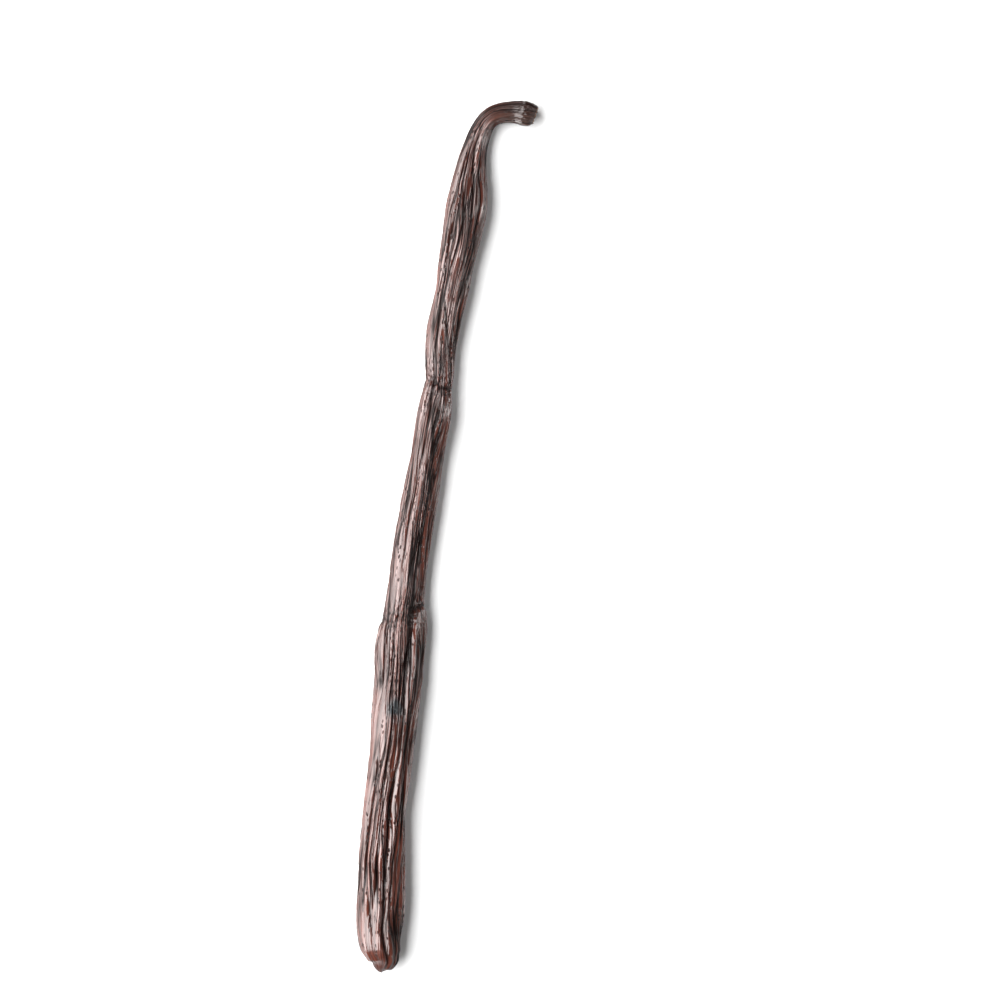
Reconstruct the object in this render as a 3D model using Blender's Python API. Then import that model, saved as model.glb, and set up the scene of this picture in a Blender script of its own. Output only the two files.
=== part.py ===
"""A cured vanilla pod, lying on its side: a long, flattened, three-sided capsule with a hooked neck.

The pod is one closed solid. It lies along Y with its blunt blossom end at -Y and its neck at +Y, where
the neck hooks over towards +X and ends in a swelling round the scar of the stalk. The origin is on the surface
that the pod lies on, under the middle of its box. Sizes are in millimetres and become metres at the end.
"""

import math

import bmesh
import bpy
import numpy as np
from mathutils import Vector, noise

MM = 0.001
RING_POINTS = 30
RING_SPACING = 1.75          # along the body; the two ends are cut finer
END_SPACING = 0.5
END_LENGTH = 6.0

# The stations of the pod, from the blossom tip to the stalk scar: where its middle line passes on the
# surface it lies on (x, y), how wide and how thick it is there, and how far its underside is lifted.
STATIONS = [
    # x      y      width thick lift
    (-13.3, -87.5,  1.3,  1.3,  2.0),    # blossom tip, a small blunt nipple
    (-13.2, -86.7,  3.0,  2.6,  1.5),
    (-12.9, -85.9,  4.7,  3.7,  0.9),
    (-12.8, -84.9,  6.3,  4.8,  0.5),    # blunt end of the two lobes
    (-13.1, -83.5,  7.9,  5.8,  0.2),
    (-13.6, -81.5,  8.8,  6.3,  0.05),
    (-13.8, -78.8,  9.3,  6.6,  0.0),
    (-13.7, -72.8,  9.7,  7.0, -0.3),    # the heavy end, which rests
    (-13.3, -62.8,  9.4,  6.9, -0.25),
    (-12.7, -52.8,  8.8,  6.6,  0.0),
    (-11.5, -43.8,  9.2,  6.8,  0.0),
    (-10.5, -32.8,  9.8,  7.1, -0.25),   # belly, the widest stretch
    (-9.6,  -20.4,  9.2,  6.9, -0.1),
    (-8.7,  -12.9,  7.8,  6.1,  0.1),    # just above the ring fold
    (-8.0,   -6.4,  7.3,  5.7,  0.2),
    (-6.0,    7.2,  7.1,  5.6,  0.35),
    (-3.3,   21.9,  6.7,  5.4,  0.35),
    (-2.0,   30.2,  6.2,  5.1,  0.3),    # knuckle
    (-1.3,   38.6,  6.7,  5.3,  0.2),
    (1.0,    51.2,  7.1,  5.6,  0.25),
    (2.6,    59.9,  8.4,  6.3,  0.02),   # shoulder, which rests
    (3.7,    66.1,  8.6,  6.4,  0.0),
    (4.2,    71.4,  6.9,  5.5,  0.15),
    (4.7,    75.4,  5.4,  4.7,  0.2),    # root of the neck
    (5.5,    78.8,  4.6,  4.2,  0.2),
    (6.5,    81.6,  4.3,  4.0,  0.2),
    (7.9,    83.6,  4.0,  3.8,  0.2),    # the bend
    (10.1,   84.8,  3.9,  3.8,  0.1),
    (13.2,   85.1,  4.1,  4.0,  0.0),
    (15.2,   84.8,  4.7,  4.6, -0.1),    # swollen end, which rests
    (16.6,   84.5,  4.5,  4.4,  0.0),
    (17.4,   84.4,  3.5,  3.4,  0.4),    # its rounded rim, round the stalk scar
]

# Three rounded keels run the length of the pod and turn slowly about it.
KEEL_HEIGHT = 0.045           # as a share of the radius
KEEL_START = math.radians(80)
KEEL_TWIST = math.radians(70)

# Lengthwise folds, where the skin has sunk between the keels. The angle is measured round the section from
# the right-hand side of someone who looks along the pod from its tip, over the top.
FOLDS = [
    # angle turn  from   to   depth half-width
    (64,    10,    6,    40,   0.75, 0.9),   # groove between the two lobes of the heavy end
    (40,    14,   58,   112,   0.55, 1.5),   # hollow facet right of the top keel
    (52,   -12,  114,   158,   0.50, 1.3),
    (128,   -8,   34,    74,   0.30, 1.3),
    (150,   10,   84,   150,   0.35, 1.2),
    (196,    6,   12,    66,   0.35, 1.1),
    (345,  -10,   20,    90,   0.45, 1.2),
    (352,    8,  100,   162,   0.40, 1.0),
    (250,   12,   30,   130,   0.50, 1.2),   # underside
    (100,    0,  156,   176,   0.40, 0.7),   # runs up into the neck
    (30,     0,  160,   178,   0.30, 0.6),
]
FOLD_FADE = 9.0               # a fold shallows out over this length at each end

# Creases across the pod: where its middle is along the pod, how far it slants from side to side,
# how deep the pinch is, and how proud the skin stands on the tip's side of it.
CREASES = [
    # at     slant depth bulge
    (72.8,    2.2, 0.40, 0.45),              # ring fold
    (118.7,  -1.2, 0.42, 0.22),              # knuckle
    (172.5,   0.6, 0.15, 0.05),              # where the neck bends over
    (34.5,   -1.5, 0.14, 0.10),
    (140.5,   1.8, 0.14, 0.10),
]
CREASE_WIDTH = 1.3
BULGE_LENGTH = 5.0

LUMP_HEIGHT = 0.22
LUMP_LENGTH = 9.0             # along the pod
LUMP_ACROSS = 3.2

# The scar's hollow, ring by ring: its share of the end's radius, and how deep it lies.
SCAR_RINGS = [(0.8, 0.05), (0.55, 0.4), (0.25, 0.5)]
SCAR_SLANT = 0.15             # how far the cut leans back on the inside of the hook, as a slope

SKIN_COLOUR = (0.048, 0.021, 0.015, 1.0)     # near-black red-brown, linear
SKIN_ROUGHNESS = 0.38


def smooth_path(points, steps=24):
    """A curve through every row of points, with a tangent at each that joins its neighbours."""
    rows = np.array(points, float)
    padded = np.vstack([2 * rows[0] - rows[1], rows, 2 * rows[-1] - rows[-2]])
    u = np.linspace(0, 1, steps, endpoint=False)[:, None]
    spans = []
    for before, start, end, after in zip(padded, padded[1:], padded[2:], padded[3:]):
        spans.append(0.5 * (
            2 * start
            + (end - before) * u
            + (2 * before - 5 * start + 4 * end - after) * u**2
            + (3 * start - before - 3 * end + after) * u**3
        ))
    return np.vstack(spans + [rows[-1:]])


def along(path):
    """How far along the path each of its points is."""
    steps = np.linalg.norm(np.diff(path[:, :2], axis=0), axis=1)
    return np.concatenate([[0], np.cumsum(steps)])


def ring_places(length):
    """Distances from the tip at which the pod is cut into rings, closer together at both ends."""
    tip = np.arange(0, END_LENGTH, END_SPACING)
    body = np.linspace(END_LENGTH, length - END_LENGTH, round((length - 2 * END_LENGTH) / RING_SPACING))
    return np.concatenate([tip, body, length - tip[::-1]])


def fade(s, start, end):
    """1 between start and end, falling smoothly to 0 over FOLD_FADE inside each."""
    rise = min(max((s - start) / FOLD_FADE, 0), 1)
    fall = min(max((end - s) / FOLD_FADE, 0), 1)
    return math.sin(rise * math.pi / 2) ** 2 * math.sin(fall * math.pi / 2) ** 2


def wrapped(angle):
    """The angle brought to between minus and plus half a turn."""
    return (angle + math.pi) % (2 * math.pi) - math.pi


def relief(s, length, angle, radius):
    """How far the skin stands out from a plain oval section, in millimetres, at s along the pod."""
    keels = math.cos(3 * (angle - KEEL_START - KEEL_TWIST * s / length))
    height = KEEL_HEIGHT * radius * keels
    for centre, turn, start, end, depth, half_width in FOLDS:
        share = (s - start) / (end - start)
        off = wrapped(angle - math.radians(centre + turn * share)) * radius
        height -= depth * fade(s, start, end) * math.exp(-((off / half_width) ** 2))
    for at, slant, depth, bulge in CREASES:
        off = s - at - slant * math.cos(angle)
        height -= depth * math.exp(-((off / CREASE_WIDTH) ** 2))
        height += bulge * math.exp(-(((off + BULGE_LENGTH) / BULGE_LENGTH) ** 2))
    place = (math.cos(angle) * radius / LUMP_ACROSS, math.sin(angle) * radius / LUMP_ACROSS, s / LUMP_LENGTH)
    return height + LUMP_HEIGHT * noise.noise(Vector(place)) * min(1, radius / LUMP_ACROSS)


def section(row, tangent, s, length):
    """The ring of points round the pod at one station, on the surface z = 0 or above it."""
    x, y, width, thick, lift = row
    middle = np.array([x, y, thick / 2 + lift])
    right = np.array([tangent[1], -tangent[0], 0.0])
    ring = []
    for angle in np.linspace(0, 2 * math.pi, RING_POINTS, endpoint=False):
        radius = (width + thick) / 4
        grow = 1 + relief(s, length, angle, radius) / radius
        point = middle + right * (width / 2 * grow * math.cos(angle))
        point[2] += thick / 2 * grow * math.sin(angle)
        point[2] = max(point[2], 0.0)
        ring.append(point)
    return np.array(ring)


def pod_rings():
    """Every ring of the pod, from the tip to the rim of the scar, then the scar's own rings."""
    path = smooth_path(STATIONS)
    travel = along(path)
    length = travel[-1]
    places = ring_places(length)
    rows = np.stack([np.interp(places, travel, column) for column in path.T], axis=1)
    tangents = np.gradient(rows[:, :2], places, axis=0)
    tangents /= np.linalg.norm(tangents, axis=1)[:, None]
    rings = [section(row, t, s, length) for row, t, s in zip(rows, tangents, places)]

    forward = np.append(tangents[-1], 0.0)
    inside = np.append([tangents[-1][1], -tangents[-1][0]], 0.0)
    rim = rings[-1]
    middle = rim.mean(axis=0)
    rim = rim - np.outer((rim - middle) @ inside, forward) * SCAR_SLANT
    rings[-1] = rim
    for share, depth in SCAR_RINGS:
        rings.append(middle + (rim - middle) * share - forward * depth)
    return rings


def solid_from(rings):
    """One closed mesh from the rings, with a point at the tip and another at the bottom of the scar."""
    bm = bmesh.new()
    loops = [[bm.verts.new(Vector(p) * MM) for p in ring] for ring in rings]
    for low, high in zip(loops, loops[1:]):
        for i in range(RING_POINTS):
            j = (i + 1) % RING_POINTS
            bm.faces.new((low[i], low[j], high[j], high[i]))
    for loop, flip in ((loops[0], True), (loops[-1], False)):
        centre = bm.verts.new(sum((v.co for v in loop), Vector()) / RING_POINTS)
        for i in range(RING_POINTS):
            pair = (loop[i], loop[(i + 1) % RING_POINTS])
            bm.faces.new((centre, *(reversed(pair) if flip else pair)))
    bmesh.ops.recalc_face_normals(bm, faces=bm.faces)
    mesh = bpy.data.meshes.new("vanilla_pod")
    bm.to_mesh(mesh)
    bm.free()
    mesh.shade_smooth()
    mesh.set_sharp_from_angle(angle=math.radians(60))
    return mesh


def skin_material():
    """Cured pod skin: dark, leathery and a little oily."""
    material = bpy.data.materials.new("pod_skin")
    material.use_nodes = True
    shader = material.node_tree.nodes["Principled BSDF"]
    shader.inputs["Base Color"].default_value = SKIN_COLOUR
    shader.inputs["Roughness"].default_value = SKIN_ROUGHNESS
    shader.inputs["Metallic"].default_value = 0.0
    return material


for old in list(bpy.data.objects):
    bpy.data.objects.remove(old)

pod = bpy.data.objects.new("vanilla_pod", solid_from(pod_rings()))
pod.data.materials.append(skin_material())
bpy.context.scene.collection.objects.link(pod)
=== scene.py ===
"""One cured vanilla pod on a pale table under a soft studio lamp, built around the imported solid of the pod.

Places and sizes are in millimetres until a mesh is made, and colours are sRGB hex. Along the pod, places
are distances from its blossom end. Round it, they are degrees from its right-hand flank over the top.
"""
import math

import bpy
import numpy as np
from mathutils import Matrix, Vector, noise
from mathutils.bvhtree import BVHTree


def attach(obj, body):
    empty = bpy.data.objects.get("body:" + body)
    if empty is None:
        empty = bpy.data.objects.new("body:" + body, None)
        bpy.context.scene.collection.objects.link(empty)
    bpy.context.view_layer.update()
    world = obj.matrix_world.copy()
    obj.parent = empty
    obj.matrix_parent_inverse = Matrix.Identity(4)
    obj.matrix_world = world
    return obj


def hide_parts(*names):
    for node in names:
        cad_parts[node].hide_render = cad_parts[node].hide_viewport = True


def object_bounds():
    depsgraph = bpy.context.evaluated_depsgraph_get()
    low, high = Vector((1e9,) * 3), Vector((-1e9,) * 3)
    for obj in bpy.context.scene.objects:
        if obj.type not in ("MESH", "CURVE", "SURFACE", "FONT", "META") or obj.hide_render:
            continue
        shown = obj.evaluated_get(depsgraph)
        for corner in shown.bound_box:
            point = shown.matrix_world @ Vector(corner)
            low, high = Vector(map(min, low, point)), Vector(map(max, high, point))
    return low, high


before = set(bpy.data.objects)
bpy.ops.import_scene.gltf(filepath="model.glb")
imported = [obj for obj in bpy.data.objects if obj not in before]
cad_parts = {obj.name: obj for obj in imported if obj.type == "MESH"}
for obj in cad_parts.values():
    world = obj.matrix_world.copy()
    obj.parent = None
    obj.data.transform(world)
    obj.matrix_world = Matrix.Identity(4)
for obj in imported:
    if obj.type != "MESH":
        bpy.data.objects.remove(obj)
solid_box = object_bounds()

scene = bpy.context.scene
scene.view_settings.view_transform = "Standard"
MM = 0.001


# ---------------------------------------------------------------- camera
# A long lens looks straight down on the pod where it lies, which keeps its outline free of perspective.
# It stands a little to the pod's right, so that the pod lies left of the middle of the picture.

LENS_MM = 100
SENSOR_MM = 36
VIEW_WIDTH = 0.200
VIEW_CENTRE = (0.01034, 0.0072)

camera = bpy.data.objects.new("camera", bpy.data.cameras.new("camera"))
camera.data.lens = LENS_MM
camera.data.sensor_width = SENSOR_MM
camera.data.clip_end = 20
camera.location = (*VIEW_CENTRE, solid_box[1][2] * 0.6 + VIEW_WIDTH * LENS_MM / SENSOR_MM)
scene.collection.objects.link(camera)
scene.camera = camera


# ---------------------------------------------------------------- skin
# The fruit of a vanilla orchid, sweated and dried for months until its wall has shrunk to a supple, oily
# skin. It has sunk into long pleats with thin creases between them, and cross creases where it was bent.

# Where the pod's middle line runs, from the blossom end to the stalk end, as (x, y, height).
SPINE = [
    (-13.3, -87.5, 2.65), (-13.2, -86.7, 2.75), (-12.9, -85.9, 2.8), (-12.8, -84.9, 3.0), (-13.1, -83.5, 3.1),
    (-13.8, -78.8, 3.3), (-13.7, -72.8, 3.2), (-12.7, -52.8, 3.3), (-10.5, -32.8, 3.3), (-8.7, -12.9, 3.15),
    (-6.0, 7.2, 3.15), (-3.3, 21.9, 3.05), (-2.0, 30.2, 2.85), (-1.3, 38.6, 2.85), (1.0, 51.2, 3.05),
    (2.6, 59.9, 3.17), (3.7, 66.1, 3.2), (4.2, 71.4, 2.9), (4.7, 75.4, 2.55), (5.5, 78.8, 2.3),
    (6.5, 81.6, 2.2), (7.9, 83.6, 2.1), (10.1, 84.8, 2.0), (13.2, 85.1, 2.0), (15.2, 84.8, 2.2), (17.4, 84.4, 2.15),
]
RINGS = 425
AROUND = 230
CROWDING = 0.45               # the mesh is finer over the top, where it shows, than underneath
GIRTH = 4.2                   # radius on which the pleats are laid out, the pod's own at its fullest

# Keels that run the whole length of the pod, as the (along, angle) points they pass. The wall has sunk nearly
# flat from one keel to the next.
KEELS = [
    [(0, 8), (60, 0), (118, -8), (183, 5)],
    [(0, 50), (14, 61), (24, 61), (30, 46), (40, 50), (60, 44), (85, 36), (103, 46), (118, 44), (130, 58),
     (160, 62), (183, 56)],
    [(0, 86), (14, 92), (20, 95), (31, 94), (40, 98), (60, 96), (85, 90), (103, 80), (112, 90), (118, 94),
     (126, 96), (140, 99), (155, 95), (183, 100)],
    [(0, 146), (20, 150), (60, 150), (100, 148), (118, 150), (140, 148), (160, 145), (183, 156)],
    [(0, 196), (60, 192), (118, 190), (183, 196)],
    [(0, 240), (60, 232), (118, 230), (183, 236)],
    [(0, 304), (60, 298), (118, 292), (183, 300)],
]
SUNK_FLAT = 0.70              # 1 would make the wall between two keels quite flat
KEEL_EDGE = dict(height=0.12, half_width=0.40)

# The relief of the skin: each layer's patches are so wide round the pod and so long along it, and so deep.
SWELL = dict(across=3.4, along=26, depth=0.16)
PLEAT = dict(across=1.7, along=30, depth=0.20)
CREASES = [                   # and how sharp the crease is, as a share of the noise it follows
    dict(across=1.30, along=22, depth=0.16, edge=0.09),
    dict(across=0.80, along=20, depth=0.18, edge=0.15),
    dict(across=0.52, along=13, depth=0.13, edge=0.20),
]
RIDGES = [
    dict(across=1.5, along=24, depth=0.14, edge=0.10),
    dict(across=0.75, along=12, depth=0.12, edge=0.14),
]

# Long folds that can be told one by one: depth, half-width, and the (along, angle) points they pass.
FOLDS = [
    (0.55, 0.40, [(0.0, 73), (9, 74), (15, 70), (22, 73), (28, 67), (35, 65), (42, 56)]),    # between the lobes
    (0.36, 0.30, [(8, 112), (11, 119), (16, 128), (22.5, 143), (30, 138), (36, 131), (44, 126)]),
    (0.34, 0.28, [(13, 108), (16, 106), (21, 103), (27, 99), (34, 94), (44, 94), (52, 88)]),
    (0.25, 0.24, [(14, 50), (22, 46), (32, 36), (40, 30)]),
    (0.30, 0.34, [(50, 62), (58, 70), (67, 60), (76, 66)]),
    (0.26, 0.30, [(52, 110), (60, 104), (68, 112), (76, 101)]),
    (0.16, 0.26, [(73, 48), (88, 56), (104, 62), (116, 78)]),                          # below the knuckle
    (0.25, 0.28, [(80, 118), (94, 112), (108, 104), (117, 112)]),
    (0.25, 0.30, [(84, 35), (97, 44), (112, 50)]),
    (0.45, 0.36, [(124, 38), (129, 66), (132, 86), (136, 112), (141, 108), (148, 96), (156, 88)]),
    (0.28, 0.26, [(122, 110), (129, 116), (136, 122), (146, 130), (158, 124)]),
    (0.34, 0.32, [(144, 58), (152, 62), (160, 70), (168, 84), (174, 92)]),
    (0.24, 0.24, [(150, 120), (160, 116), (170, 112), (178, 100)]),
    (0.26, 0.30, [(146, 30), (156, 36), (166, 46), (172, 60)]),
]
FOLD_FADE = 5.0

# Cross creases where the pod was bent: place along it, slant from flank to flank, depth and reach.
BENDS = [(72.4, 2.0, 0.30, 3.2), (118.7, -1.2, 0.40, 2.4), (171.5, 0.8, 0.10, 2.0)]
BEND_WIDTH = 0.34
FULL_KNOT = 0.30              # a bend at least this deep is netted all over with fine wrinkles
NET = dict(across=1.4, along=1.5, depth=0.24, edge=0.12)

SMOOTH_ROUND, SMOOTH_ALONG = 14, 16     # how often the solid's facets are averaged away
KEEL_ROOM = 1.03              # the keels stand a little outside the solid, to make up for the sunk wall
LEFT_LOBE_BULGE = 0.6         # the left lobe ends lower than the right
KNOB_LENGTH = 5.0             # the swollen end of the neck


def smooth_route(points, steps=40):
    """A curve through the points, whose tangent at each is parallel to the line between its neighbours."""
    rows = np.array(points, float)
    rows = np.vstack([2 * rows[0] - rows[1], rows, 2 * rows[-1] - rows[-2]])
    u = np.linspace(0, 1, steps, endpoint=False)[:, None]
    spans = [
        b + 0.5 * ((c - a) * u + (2 * a - 5 * b + 4 * c - d) * u**2 + (3 * b - a - 3 * c + d) * u**3)
        for a, b, c, d in zip(rows, rows[1:], rows[2:], rows[3:])
    ]
    return np.vstack([*spans, rows[-2:-1]])


route = smooth_route(SPINE)
travelled = np.concatenate([[0], np.cumsum(np.linalg.norm(np.diff(route, axis=0), axis=1))])
LENGTH = travelled[-1]
# Rings lie closer together at the ends and at the cross creases, where the skin turns sharply along the pod.
FINE_PLACES = (0, 74, 118.7, 171.5, LENGTH)
FINE_REACH = 5
FINE_GAIN = 1.2
fine_at = np.linspace(0, LENGTH, 2000)
closer = 1 + FINE_GAIN * sum(np.exp(-(((fine_at - at) / FINE_REACH) ** 2)) for at in FINE_PLACES)
crowd = np.concatenate([[0], np.cumsum(closer[1:] + closer[:-1])])
along = np.interp(np.linspace(0, crowd[-1], RINGS), crowd, fine_at)
middle = np.stack([np.interp(along, travelled, axis) for axis in route.T], axis=1)
forward = np.gradient(middle, along, axis=0)
forward[:, 2] = 0
forward /= np.linalg.norm(forward, axis=1)[:, None]
flank = np.stack([forward[:, 1], -forward[:, 0], np.zeros(RINGS)], axis=1)

even = np.linspace(0, 2 * math.pi, AROUND, endpoint=False)
angle = even + CROWDING * np.cos(even)
S, A = np.meshgrid(along, angle, indexing="ij")
outward = flank[:, None] * np.cos(A)[..., None] + np.array([0, 0, 1.0]) * np.sin(A)[..., None]


def soften(grid, times_round, times_along):
    """Averages each value with its neighbours, so many times round the pod and so many along it."""
    for _ in range(times_round):
        grid = (np.roll(grid, 1, axis=1) + 2 * grid + np.roll(grid, -1, axis=1)) / 4
    for _ in range(times_along):
        grid[1:-1] = (grid[:-2] + 2 * grid[1:-1] + grid[2:]) / 4
    return grid


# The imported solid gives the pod's girth everywhere: rays run from the middle line out to its surface.
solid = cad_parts["vanilla_pod"]
surface = BVHTree.FromObject(solid, bpy.context.evaluated_depsgraph_get())
END_MARGIN = 0.6              # short of the slanted cut at the stalk end
reach = np.zeros((RINGS, AROUND))
for i in range(RINGS):
    start = Vector(middle[i] * MM)
    for j in range(AROUND):
        hit = surface.ray_cast(start, Vector(outward[i, j]), 0.02)
        reach[i, j] = hit[3] / MM if hit[0] is not None else np.nan
whole = along < LENGTH - END_MARGIN
last = np.flatnonzero(whole)[-1]
reach[~whole] = reach[last] * (1 - 0.14 * ((along[~whole, None] - along[last]) / END_MARGIN) ** 2)
for row in reach:
    row[np.isnan(row)] = np.nanmean(row)
reach = soften(reach, SMOOTH_ROUND, SMOOTH_ALONG)


def patches(across, along_, seed, turn=0.0):
    """Smooth noise over the skin whose patches are about that wide round the pod and that long along it."""
    a = A + turn
    where = [np.cos(a) * GIRTH / across, np.sin(a) * GIRTH / across, S / along_ + 23.7 * seed]
    where = np.stack(where, axis=-1)
    return np.array([noise.noise(p) for p in where.reshape(-1, 3).tolist()]).reshape(A.shape)


def near(value, centre, width):
    """1 at the centre, fading to 0 over about that width."""
    return np.exp(-(((value - centre) / width) ** 2))


def wrapped(a):
    """The angle brought to between minus and plus half a turn."""
    return (a + math.pi) % (2 * math.pi) - math.pi


# The pleats wander and turn slowly about the pod, so that they split and run together.
wander = 0.30 * patches(5.0, 18, 1) + 0.07 * patches(2.0, 7, 2)
wander += 0.35 * np.sin(S / 31.0)
calm_lobe = near(S, 8, 11) * near(wrapped(A - math.radians(140)), 0, 0.75)
knots = sum(min(1, depth / FULL_KNOT) * near(S - slant * np.cos(A), at, spread)
            for at, slant, depth, spread in BENDS)
restless = np.clip(0.90 + 1.0 * patches(4.5, 18, 3), 0.45, 1.3) * (1 - 0.75 * calm_lobe)


def crease(line, edge):
    """1 along the lines where the noise passes through nothing, falling away within the edge on both sides."""
    return np.exp(-np.abs(line / edge) ** 1.4)


keels = np.radians([np.interp(S, *np.array(keel, float).T) for keel in KEELS])
keels += np.stack([0.06 * patches(3, 14, 70 + number) for number in range(len(KEELS))])
flat_share = np.ones_like(A)
for low, high in zip(keels, [*keels[1:], keels[0] + 2 * math.pi]):
    from_low = (A - low) % (2 * math.pi)
    between = from_low < high - low
    chord = np.cos((high - low) / 2) / np.cos(from_low - (high - low) / 2)
    flat_share = np.where(between, chord, flat_share)
reach *= KEEL_ROOM - SUNK_FLAT * (1 - soften(flat_share, 10, 0))
reach += LEFT_LOBE_BULGE * near(S, 1.4, 1.0) * near(wrapped(A - math.pi), 0, 0.9)

skin = SWELL["depth"] * patches(SWELL["across"], SWELL["along"], 8, wander)
for keel in keels:
    skin += KEEL_EDGE["height"] * near(wrapped(A - keel) * reach, 0, KEEL_EDGE["half_width"])
pleats = np.abs(patches(PLEAT["across"], PLEAT["along"], 4, wander))
skin += PLEAT["depth"] * (np.minimum(pleats, 0.3) / 0.3 - 0.6) * restless
for number, layer in enumerate(RIDGES):
    line = patches(layer["across"], layer["along"], 12 + number, wander)
    skin += layer["depth"] * crease(line, layer["edge"]) * restless
# The sunk mask follows the creases, folds and bends: the material paints shade with it, darkening the skin's colour
# there nearly to black, and takes the oil off.
sunk = np.zeros_like(skin)
for number, layer in enumerate(CREASES):
    line = patches(layer["across"], layer["along"], 40 + number, (1 + 0.3 * number) * wander)
    skin -= layer["depth"] * crease(line, layer["edge"]) * restless
    sunk += min(0.9, layer["depth"] / 0.2) * crease(line, layer["edge"] * 0.85) * restless
net = crease(patches(NET["across"], NET["along"], 7, 2.0 * wander), NET["edge"])
netted = np.clip(knots + 0.5 * near(S, 60, 12) * near(wrapped(A - math.radians(85)), 0, 0.5), 0, 1)
skin -= NET["depth"] * net * netted
sunk += 0.6 * net * netted
knob = np.clip((S - (LENGTH - KNOB_LENGTH)) / 2.5, 0, 1)
skin += 0.22 * knob * patches(1.3, 0.55, 61) - 0.10 * knob * crease(patches(1.1, 1.1, 62), 0.15)

for depth, half_width, points in FOLDS:
    places, angles = np.array(points, float).T
    line = np.radians(np.interp(S, places, angles)) + 0.10 * patches(3, 5, depth * 100)
    ends = np.clip((S - places[0]) / FOLD_FADE, 0, 1) * np.clip((places[-1] - S) / FOLD_FADE, 0, 1)
    off = wrapped(A - line) * reach
    shape = np.exp(-np.abs(off / half_width) ** 1.4) * np.sqrt(np.clip(ends, 0, 1))
    skin -= depth * shape
    skin += depth * 0.22 * near(np.abs(off), half_width * 2.4, half_width) * np.clip(ends, 0, 1)
    sunk += shape**3
for at, slant, depth, _ in BENDS:
    off = S - at - slant * np.cos(A) + 1.0 * patches(2.5, 6, at) + 0.7 * patches(0.9, 3, at + 2)
    shape = np.exp(-np.abs(off / BEND_WIDTH) ** 1.4) * np.clip(0.6 + 2.0 * patches(1.8, 9, at + 1), 0.1, 1.2)
    skin -= depth * shape
    skin += depth * 0.35 * near(off, -1.2, 0.7)
    sunk += shape * min(1, depth / 0.25)
sore = near(S, 53.5, 1.7) * near(wrapped(A - math.radians(88)) * reach, 0, 1.5)
skin += sore * (0.25 * patches(0.55, 0.6, 33) - 0.10)
slim = np.clip(reach.mean(axis=1, keepdims=True) / GIRTH, 0.1, 1)
skin *= slim**0.8
skin *= np.clip(S / 2.5, 0, 1) * np.clip(LENGTH - S, 0.35, 1)
# How high the skin stands, from 0 in the hollows to 1 on the ridges, for the painted shade that makes low skin
# darker brown.
height_for_shade = np.clip(0.5 + skin / 0.5, 0, 1)

points = middle[:, None] + outward * (reach + skin)[..., None]
points[..., 2] = np.maximum(points[..., 2], 0)

# The cut at the stalk end leans back on the inside of the hook.
CUT_LEAN = 0.15
sideways = ((points - middle[:, None]) * flank[:, None]).sum(axis=2)
lean = np.clip((along - along[last]) / END_MARGIN, 0, 1)[:, None] * sideways
points -= forward[:, None] * (CUT_LEAN * lean)[..., None]


def ring_faces(rings):
    """The four-cornered faces that join each ring of points to the next."""
    faces = []
    for i in range(rings - 1):
        low, high = i * AROUND, (i + 1) * AROUND
        for j in range(AROUND):
            k = (j + 1) % AROUND
            faces.append((low + j, low + k, high + k, high + j))
    return faces


corners = ring_faces(RINGS)
tip = len(points.reshape(-1, 3))
tip_point = middle[0] - forward[0] * 0.15
corners += [(tip, (j + 1) % AROUND, j) for j in range(AROUND)]
mesh = bpy.data.meshes.new("pod_skin")
mesh.from_pydata([tuple(p * MM) for p in [*points.reshape(-1, 3), tip_point]], [], corners)
mesh.shade_smooth()


def keep(mesh, name, values):
    """Stores one number for each point of the mesh, for its material."""
    numbers = np.ascontiguousarray(values, np.float32)
    mesh.attributes.new(name, "FLOAT", "POINT").data.foreach_set("value", numbers)


keep(mesh, "sunk", np.append(np.clip(sunk, 0, 1).ravel(), 0))
keep(mesh, "height_for_shade", np.append(height_for_shade.ravel(), 1))
keep(mesh, "near_stalk", np.append(np.clip((S - (LENGTH - 13)) / 8, 0, 1).ravel(), 0))
keep(mesh, "near_tip", np.append(np.clip((3.2 - S) / 2.6, 0, 1).ravel(), 1))
keep(mesh, "sore", np.append(np.clip(1.8 * sore * (1 + 1.2 * patches(0.9, 1.2, 31)), 0, 1).ravel(), 0))
turned = A + wander
grain = np.stack([np.cos(turned) * GIRTH, np.sin(turned) * GIRTH, S], axis=-1).reshape(-1, 3)
grain = np.vstack([grain, [0, 0, 0]]).astype(np.float32)
mesh.attributes.new("grain_mm", "FLOAT_VECTOR", "POINT").data.foreach_set("vector", grain.ravel())

uv = mesh.uv_layers.new(name="skin").data
flat = np.zeros((len(mesh.loops), 2), np.float32)
loop = 0
for i in range(RINGS - 1):
    low, high = i / RINGS, (i + 1) / RINGS
    for j in range(AROUND):
        left, right = j / AROUND, (j + 1) / AROUND
        flat[loop:loop + 4] = ((left, low), (right, low), (right, high), (left, high))
        loop += 4
for j in range(AROUND):
    flat[loop:loop + 3] = ((j / AROUND, 0.9999), ((j + 1) / AROUND, 0.9995), (j / AROUND, 0.9995))
    loop += 3
uv.foreach_set("uv", flat.ravel())


def linear(hex_colour):
    """The linear RGBA of an sRGB hex colour."""
    parts = [int(hex_colour[k:k + 2], 16) / 255 for k in (1, 3, 5)]
    return [*(c / 12.92 if c <= 0.04045 else ((c + 0.055) / 1.055) ** 2.4 for c in parts), 1]


def add(tree, kind, inputs=None, **settings):
    """Adds a node with its settings, and sets or links its inputs, which are named or numbered."""
    made = tree.nodes.new(kind)
    for name, value in settings.items():
        setattr(made, name, value)
    for name, value in (inputs or {}).items():
        if isinstance(value, bpy.types.NodeSocket):
            tree.links.new(value, made.inputs[name])
        else:
            made.inputs[name].default_value = value
    return made


def divided(tree, vector, size):
    """The place divided by a size in millimetres, which sets how wide and how long a pattern is."""
    return add(tree, "ShaderNodeMapping", {"Vector": vector, "Scale": [1 / part for part in size]}).outputs[0]


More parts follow.
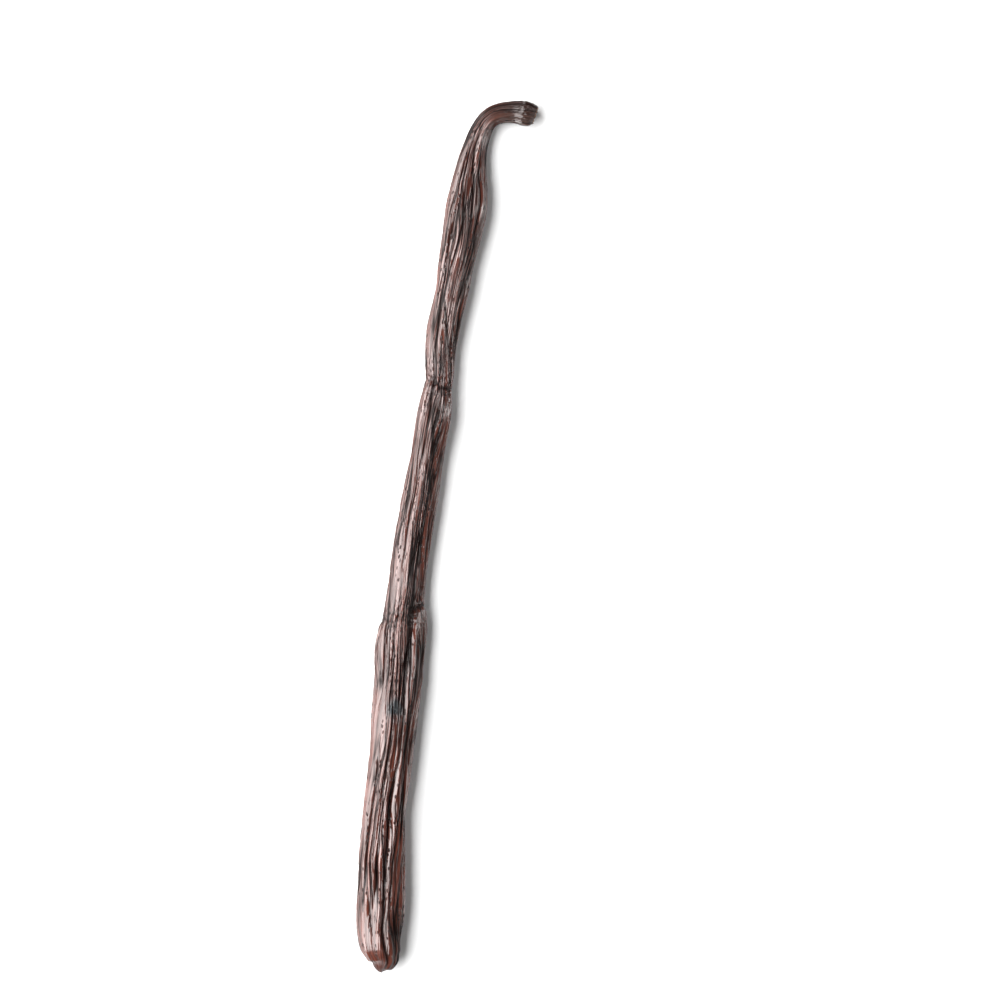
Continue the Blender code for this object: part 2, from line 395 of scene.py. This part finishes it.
def mixed(tree, share, under, over):
    """The upper colour laid over the lower one by a share from 0 to 1."""
    return add(tree, "ShaderNodeMix", {0: share, 6: under, 7: over}, data_type="RGBA").outputs[2]


# Cured pod skin: supple and dark, with the plant's own oil on it. The oil is thicker in some places than in
# others, which gives a soft, uneven gloss. It is worn thin at both ends, and there is hardly any down in the
# creases. Painted shade darkens the creases and pits nearly to black, and the low skin to a darker brown.
SKIN_BROWN = "#5c3026"
SKIN_RED = "#703626"
# Dark brown for random darker tone, and for painted shade in the low skin.
SKIN_DARK_TONE_AND_SHADE = "#3e1f17"
# Nearly black, painted as shade into the creases and pits.
PAINTED_HOLLOW_SHADE = "#180b08"
STALK_BROWN = "#432f29"
TIP_RED = "#47261f"
SORE_SLATE = "#2b3236"

cured = bpy.data.materials.new("cured_pod_skin")
cured.use_nodes = True
tree = cured.node_tree
shader = tree.nodes["Principled BSDF"]
place = add(tree, "ShaderNodeAttribute", attribute_name="grain_mm")
sunk_in = add(tree, "ShaderNodeAttribute", attribute_name="sunk")
height_shade_in = add(tree, "ShaderNodeAttribute", attribute_name="height_for_shade")
stalk_end = add(tree, "ShaderNodeAttribute", attribute_name="near_stalk")
tip_end = add(tree, "ShaderNodeAttribute", attribute_name="near_tip")
sore_spot = add(tree, "ShaderNodeAttribute", attribute_name="sore")

# Fibres in the skin, clouds of colour, and the cells in which the pores and nicks lie, one to each.
FIBRE_SIZE = (0.5, 0.5, 6)
CLOUD_SIZE = (2, 2, 14)
PORE_CELL = (0.45, 0.45, 1.3)
fibre_place = divided(tree, place.outputs["Vector"], FIBRE_SIZE)
fibre = add(tree, "ShaderNodeTexNoise", {"Vector": fibre_place, "Scale": 1.0, "Detail": 2.0})
cloud_place = divided(tree, place.outputs["Vector"], CLOUD_SIZE)
cloud = add(tree, "ShaderNodeTexNoise", {"Vector": cloud_place, "Scale": 1.0, "Detail": 3.0})
pore_place = divided(tree, place.outputs["Vector"], PORE_CELL)
pore = add(tree, "ShaderNodeTexVoronoi", {"Vector": pore_place, "Scale": 1.0})
pit = add(tree, "ShaderNodeMapRange", {"Value": pore.outputs["Distance"], "From Min": 0.20, "From Max": 0.34,
                                       "To Min": 1.0, "To Max": 0.0})
some = add(tree, "ShaderNodeMapRange", {"Value": cloud.outputs["Fac"], "From Min": 0.42, "From Max": 0.55})
pits = add(tree, "ShaderNodeMath", {0: pit.outputs["Result"], 1: some.outputs["Result"]}, operation="MULTIPLY")

# Painted shade mixed with random clouds of tone: low skin turns darker brown, raised skin keeps the lighter brown.
risen = add(tree, "ShaderNodeMath", {0: height_shade_in.outputs["Fac"], 1: 0.5, 2: cloud.outputs["Fac"]},
            operation="MULTIPLY_ADD")
tone = add(tree, "ShaderNodeMapRange", {"Value": risen.outputs[0], "From Min": 0.45, "From Max": 0.8})
body = mixed(tree, tone.outputs["Result"], linear(SKIN_DARK_TONE_AND_SHADE), linear(SKIN_BROWN))
streak = add(tree, "ShaderNodeMapRange", {"Value": fibre.outputs["Fac"], "From Min": 0.45, "From Max": 0.7,
                                          "To Max": 0.7})
warm = mixed(tree, streak.outputs["Result"], body, linear(SKIN_RED))
tipped = mixed(tree, tip_end.outputs["Fac"], warm, linear(TIP_RED))
stalked = mixed(tree, stalk_end.outputs["Fac"], tipped, linear(STALK_BROWN))
spotted = mixed(tree, sore_spot.outputs["Fac"], stalked, linear(SORE_SLATE))
# Painted shade: the creases, and then the pits, are coloured nearly black.
crease_shaded = mixed(tree, sunk_in.outputs["Fac"], spotted, linear(PAINTED_HOLLOW_SHADE))
pit_shaded = mixed(tree, pits.outputs[0], crease_shaded, linear(PAINTED_HOLLOW_SHADE))
tree.links.new(pit_shaded, shader.inputs["Base Color"])

gloss = add(tree, "ShaderNodeMapRange", {"Value": cloud.outputs["Fac"], "From Min": 0.3, "From Max": 0.7,
                                         "To Min": 0.30, "To Max": 0.44})
hollow = add(tree, "ShaderNodeMath", {0: sunk_in.outputs["Fac"], 1: pits.outputs[0]}, operation="MAXIMUM")
rubbed = add(tree, "ShaderNodeMath", {0: tip_end.outputs["Fac"], 1: 0.7}, operation="MULTIPLY")
worn = add(tree, "ShaderNodeMath", {0: stalk_end.outputs["Fac"], 1: 0.4, 2: rubbed.outputs[0]},
           operation="MULTIPLY_ADD")
dry = add(tree, "ShaderNodeMath", {0: hollow.outputs[0], 1: worn.outputs[0]}, operation="MAXIMUM")
crust = add(tree, "ShaderNodeTexNoise", {"Vector": place.outputs["Vector"], "Scale": 3.0, "Detail": 1.0})
matt = add(tree, "ShaderNodeMapRange", {"Value": crust.outputs["Fac"], "From Min": 0.5, "From Max": 0.6,
                                        "To Min": 1.0, "To Max": 0.2})
crusted = add(tree, "ShaderNodeMath", {0: sore_spot.outputs["Fac"], 1: matt.outputs["Result"]},
              operation="MULTIPLY")
sored = add(tree, "ShaderNodeMath", {0: dry.outputs[0], 1: crusted.outputs[0]}, operation="MAXIMUM")
oiled = add(tree, "ShaderNodeMapRange", {"Value": sored.outputs[0], "To Min": 1.0, "To Max": 0.08})
thick = add(tree, "ShaderNodeMapRange", {"Value": cloud.outputs["Fac"], "From Min": 0.35, "From Max": 0.6,
                                         "To Min": 0.65, "To Max": 1.0})
oil = add(tree, "ShaderNodeMath", {0: oiled.outputs["Result"], 1: thick.outputs["Result"]},
          operation="MULTIPLY")
tree.links.new(oil.outputs[0], shader.inputs["Coat Weight"])
dulled = add(tree, "ShaderNodeMath", {0: dry.outputs[0], 1: 0.12, 2: gloss.outputs["Result"]},
             operation="MULTIPLY_ADD")
tree.links.new(dulled.outputs[0], shader.inputs["Roughness"])

fibre_bump = add(tree, "ShaderNodeBump", {"Height": fibre.outputs["Fac"], "Strength": 0.7, "Distance": 0.00015})
pit_bump = add(tree, "ShaderNodeBump", {"Height": pits.outputs[0], "Strength": 0.8, "Distance": 0.00012,
                                        "Normal": fibre_bump.outputs["Normal"]}, invert=True)
tree.links.new(pit_bump.outputs["Normal"], shader.inputs["Normal"])
shader.inputs["IOR"].default_value = 1.5
shader.inputs["Specular IOR Level"].default_value = 0.08
shader.inputs["Coat Roughness"].default_value = 0.18
shader.inputs["Coat IOR"].default_value = 2.0
tree.links.new(pit_bump.outputs["Normal"], shader.inputs["Coat Normal"])

pod = bpy.data.objects.new("pod_skin", mesh)
pod.data.materials.append(cured)
scene.collection.objects.link(pod)
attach(pod, "root")
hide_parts("vanilla_pod")


# ---------------------------------------------------------------- stalk scar
# The place where the pod broke off its stalk: a shallow hollow of dry, tan fibres inside the rounded rim.
# It is the same fruit wall as the skin, torn across, and it closes the skin's end.

# Each ring's share of the rim's size, and how deep it lies.
SCAR_RINGS = [(1.0, 0.0), (0.93, -0.10), (0.84, 0.02), (0.74, 0.30), (0.62, 0.55), (0.48, 0.66), (0.34, 0.72),
              (0.20, 0.60), (0.08, 0.52)]
TORN_DEPTH = 0.28
TORN_FINENESS = 5

rim = points[-1]
centre = rim.mean(axis=0)
scar_points = []
for number, (share, depth) in enumerate(SCAR_RINGS):
    fine = TORN_FINENESS * share
    torn = np.array([noise.noise((math.cos(a) * fine, math.sin(a) * fine, 9.1)) for a in angle])
    ring = centre + (rim - centre) * share - forward[-1] * (depth + TORN_DEPTH * torn * (0 < number))[:, None]
    scar_points.append(ring)
scar_points = np.array(scar_points)
scar_corners = ring_faces(len(SCAR_RINGS))
heart = len(SCAR_RINGS) * AROUND
inner = heart - AROUND
scar_corners += [(inner + j, inner + (j + 1) % AROUND, heart) for j in range(AROUND)]
scar_mesh = bpy.data.meshes.new("stalk_scar")
scar_all = [*scar_points.reshape(-1, 3), scar_points[-1].mean(axis=0)]
scar_mesh.from_pydata([tuple(p * MM) for p in scar_all], [], scar_corners)
scar_mesh.shade_smooth()
scar_uv = scar_mesh.uv_layers.new(name="scar").data
for loop_data, place_uv in zip(scar_mesh.loops, scar_uv):
    spot = np.array(scar_mesh.vertices[loop_data.vertex_index].co) / MM - centre
    place_uv.uv = (0.5 + float(spot @ flank[-1]) / 6, 0.5 + float(spot[2]) / 6)

# Torn plant fibre: dry, matt and tan, with painted shade making it darker down between the strands.
FIBRE_TAN = "#8a6a50"
STRAND_GAP_SHADE = "#3d2c25"

torn_fibre = bpy.data.materials.new("torn_fibre")
torn_fibre.use_nodes = True
tree = torn_fibre.node_tree
strand_place = add(tree, "ShaderNodeTexCoord")
strands = add(tree, "ShaderNodeTexNoise", {"Vector": strand_place.outputs["Object"], "Scale": 2200.0,
                                           "Detail": 3.0})
spread = add(tree, "ShaderNodeMapRange", {"Value": strands.outputs["Fac"], "From Min": 0.4, "From Max": 0.62})
tan = mixed(tree, spread.outputs["Result"], linear(STRAND_GAP_SHADE), linear(FIBRE_TAN))
rough = add(tree, "ShaderNodeBump", {"Height": strands.outputs["Fac"], "Strength": 0.8, "Distance": 0.0002})
scar_shader = tree.nodes["Principled BSDF"]
tree.links.new(tan, scar_shader.inputs["Base Color"])
tree.links.new(rough.outputs["Normal"], scar_shader.inputs["Normal"])
scar_shader.inputs["Roughness"].default_value = 0.75

scar = bpy.data.objects.new("stalk_scar", scar_mesh)
scar.data.materials.append(torn_fibre)
scene.collection.objects.link(scar)
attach(scar, "root")


# ---------------------------------------------------------------- table
# A sheet of matt white paper under the pod, so large that its edges stay out of the picture from above. It
# lies a hair under the pod's flat spots, so that the two surfaces don't coincide.

PAPER_WHITE = "#f4f4f4"
TABLE_HALF = 1.5
TABLE_DROP = 0.00002

table_mesh = bpy.data.meshes.new("table")
table_corners = ((-1, -1), (1, -1), (1, 1), (-1, 1))
table_mesh.from_pydata([(x * TABLE_HALF, y * TABLE_HALF, -TABLE_DROP) for x, y in table_corners], [],
                       [(0, 1, 2, 3)])
paper = bpy.data.materials.new("matt_paper")
paper.use_nodes = True
paper_shader = paper.node_tree.nodes["Principled BSDF"]
paper_shader.inputs["Base Color"].default_value = linear(PAPER_WHITE)
paper_shader.inputs["Roughness"].default_value = 0.9
paper_shader.inputs["Specular IOR Level"].default_value = 0.1
table_mesh.materials.append(paper)
table = bpy.data.objects.new("table", table_mesh)
scene.collection.objects.link(table)


# ---------------------------------------------------------------- lamps
# One white softbox high on the left gives the skin its broad sheen. A narrow white strip on the right draws
# thin glints along the ridges there, and the dim, even grey of the room fills the shadows a little.

SOFTBOX_PLACE = (-0.48, 0.04, 0.34)
SOFTBOX_SIZE = (1.10, 1.00)
SOFTBOX_WATTS = 23
STRIP_PLACE = (0.50, 0.05, 0.30)
STRIP_SIZE = (0.10, 0.60)
STRIP_WATTS = 1.1
ROOM_LIGHT = 0.06

LAMPS = [("softbox", SOFTBOX_PLACE, SOFTBOX_SIZE, SOFTBOX_WATTS),
         ("strip", STRIP_PLACE, STRIP_SIZE, STRIP_WATTS)]
for name, lamp_place, size, watts in LAMPS:
    lamp = bpy.data.objects.new(name, bpy.data.lights.new(name, "AREA"))
    lamp.data.shape = "RECTANGLE"
    lamp.data.size, lamp.data.size_y = size
    lamp.data.energy = watts
    lamp.location = lamp_place
    lamp.rotation_euler = (-Vector(lamp_place)).to_track_quat("-Z", "Y").to_euler()
    scene.collection.objects.link(lamp)

world = bpy.data.worlds.new("room")
world.use_nodes = True
background = world.node_tree.nodes["Background"]
background.inputs["Color"].default_value = (1, 1, 1, 1)
background.inputs["Strength"].default_value = ROOM_LIGHT
scene.world = world
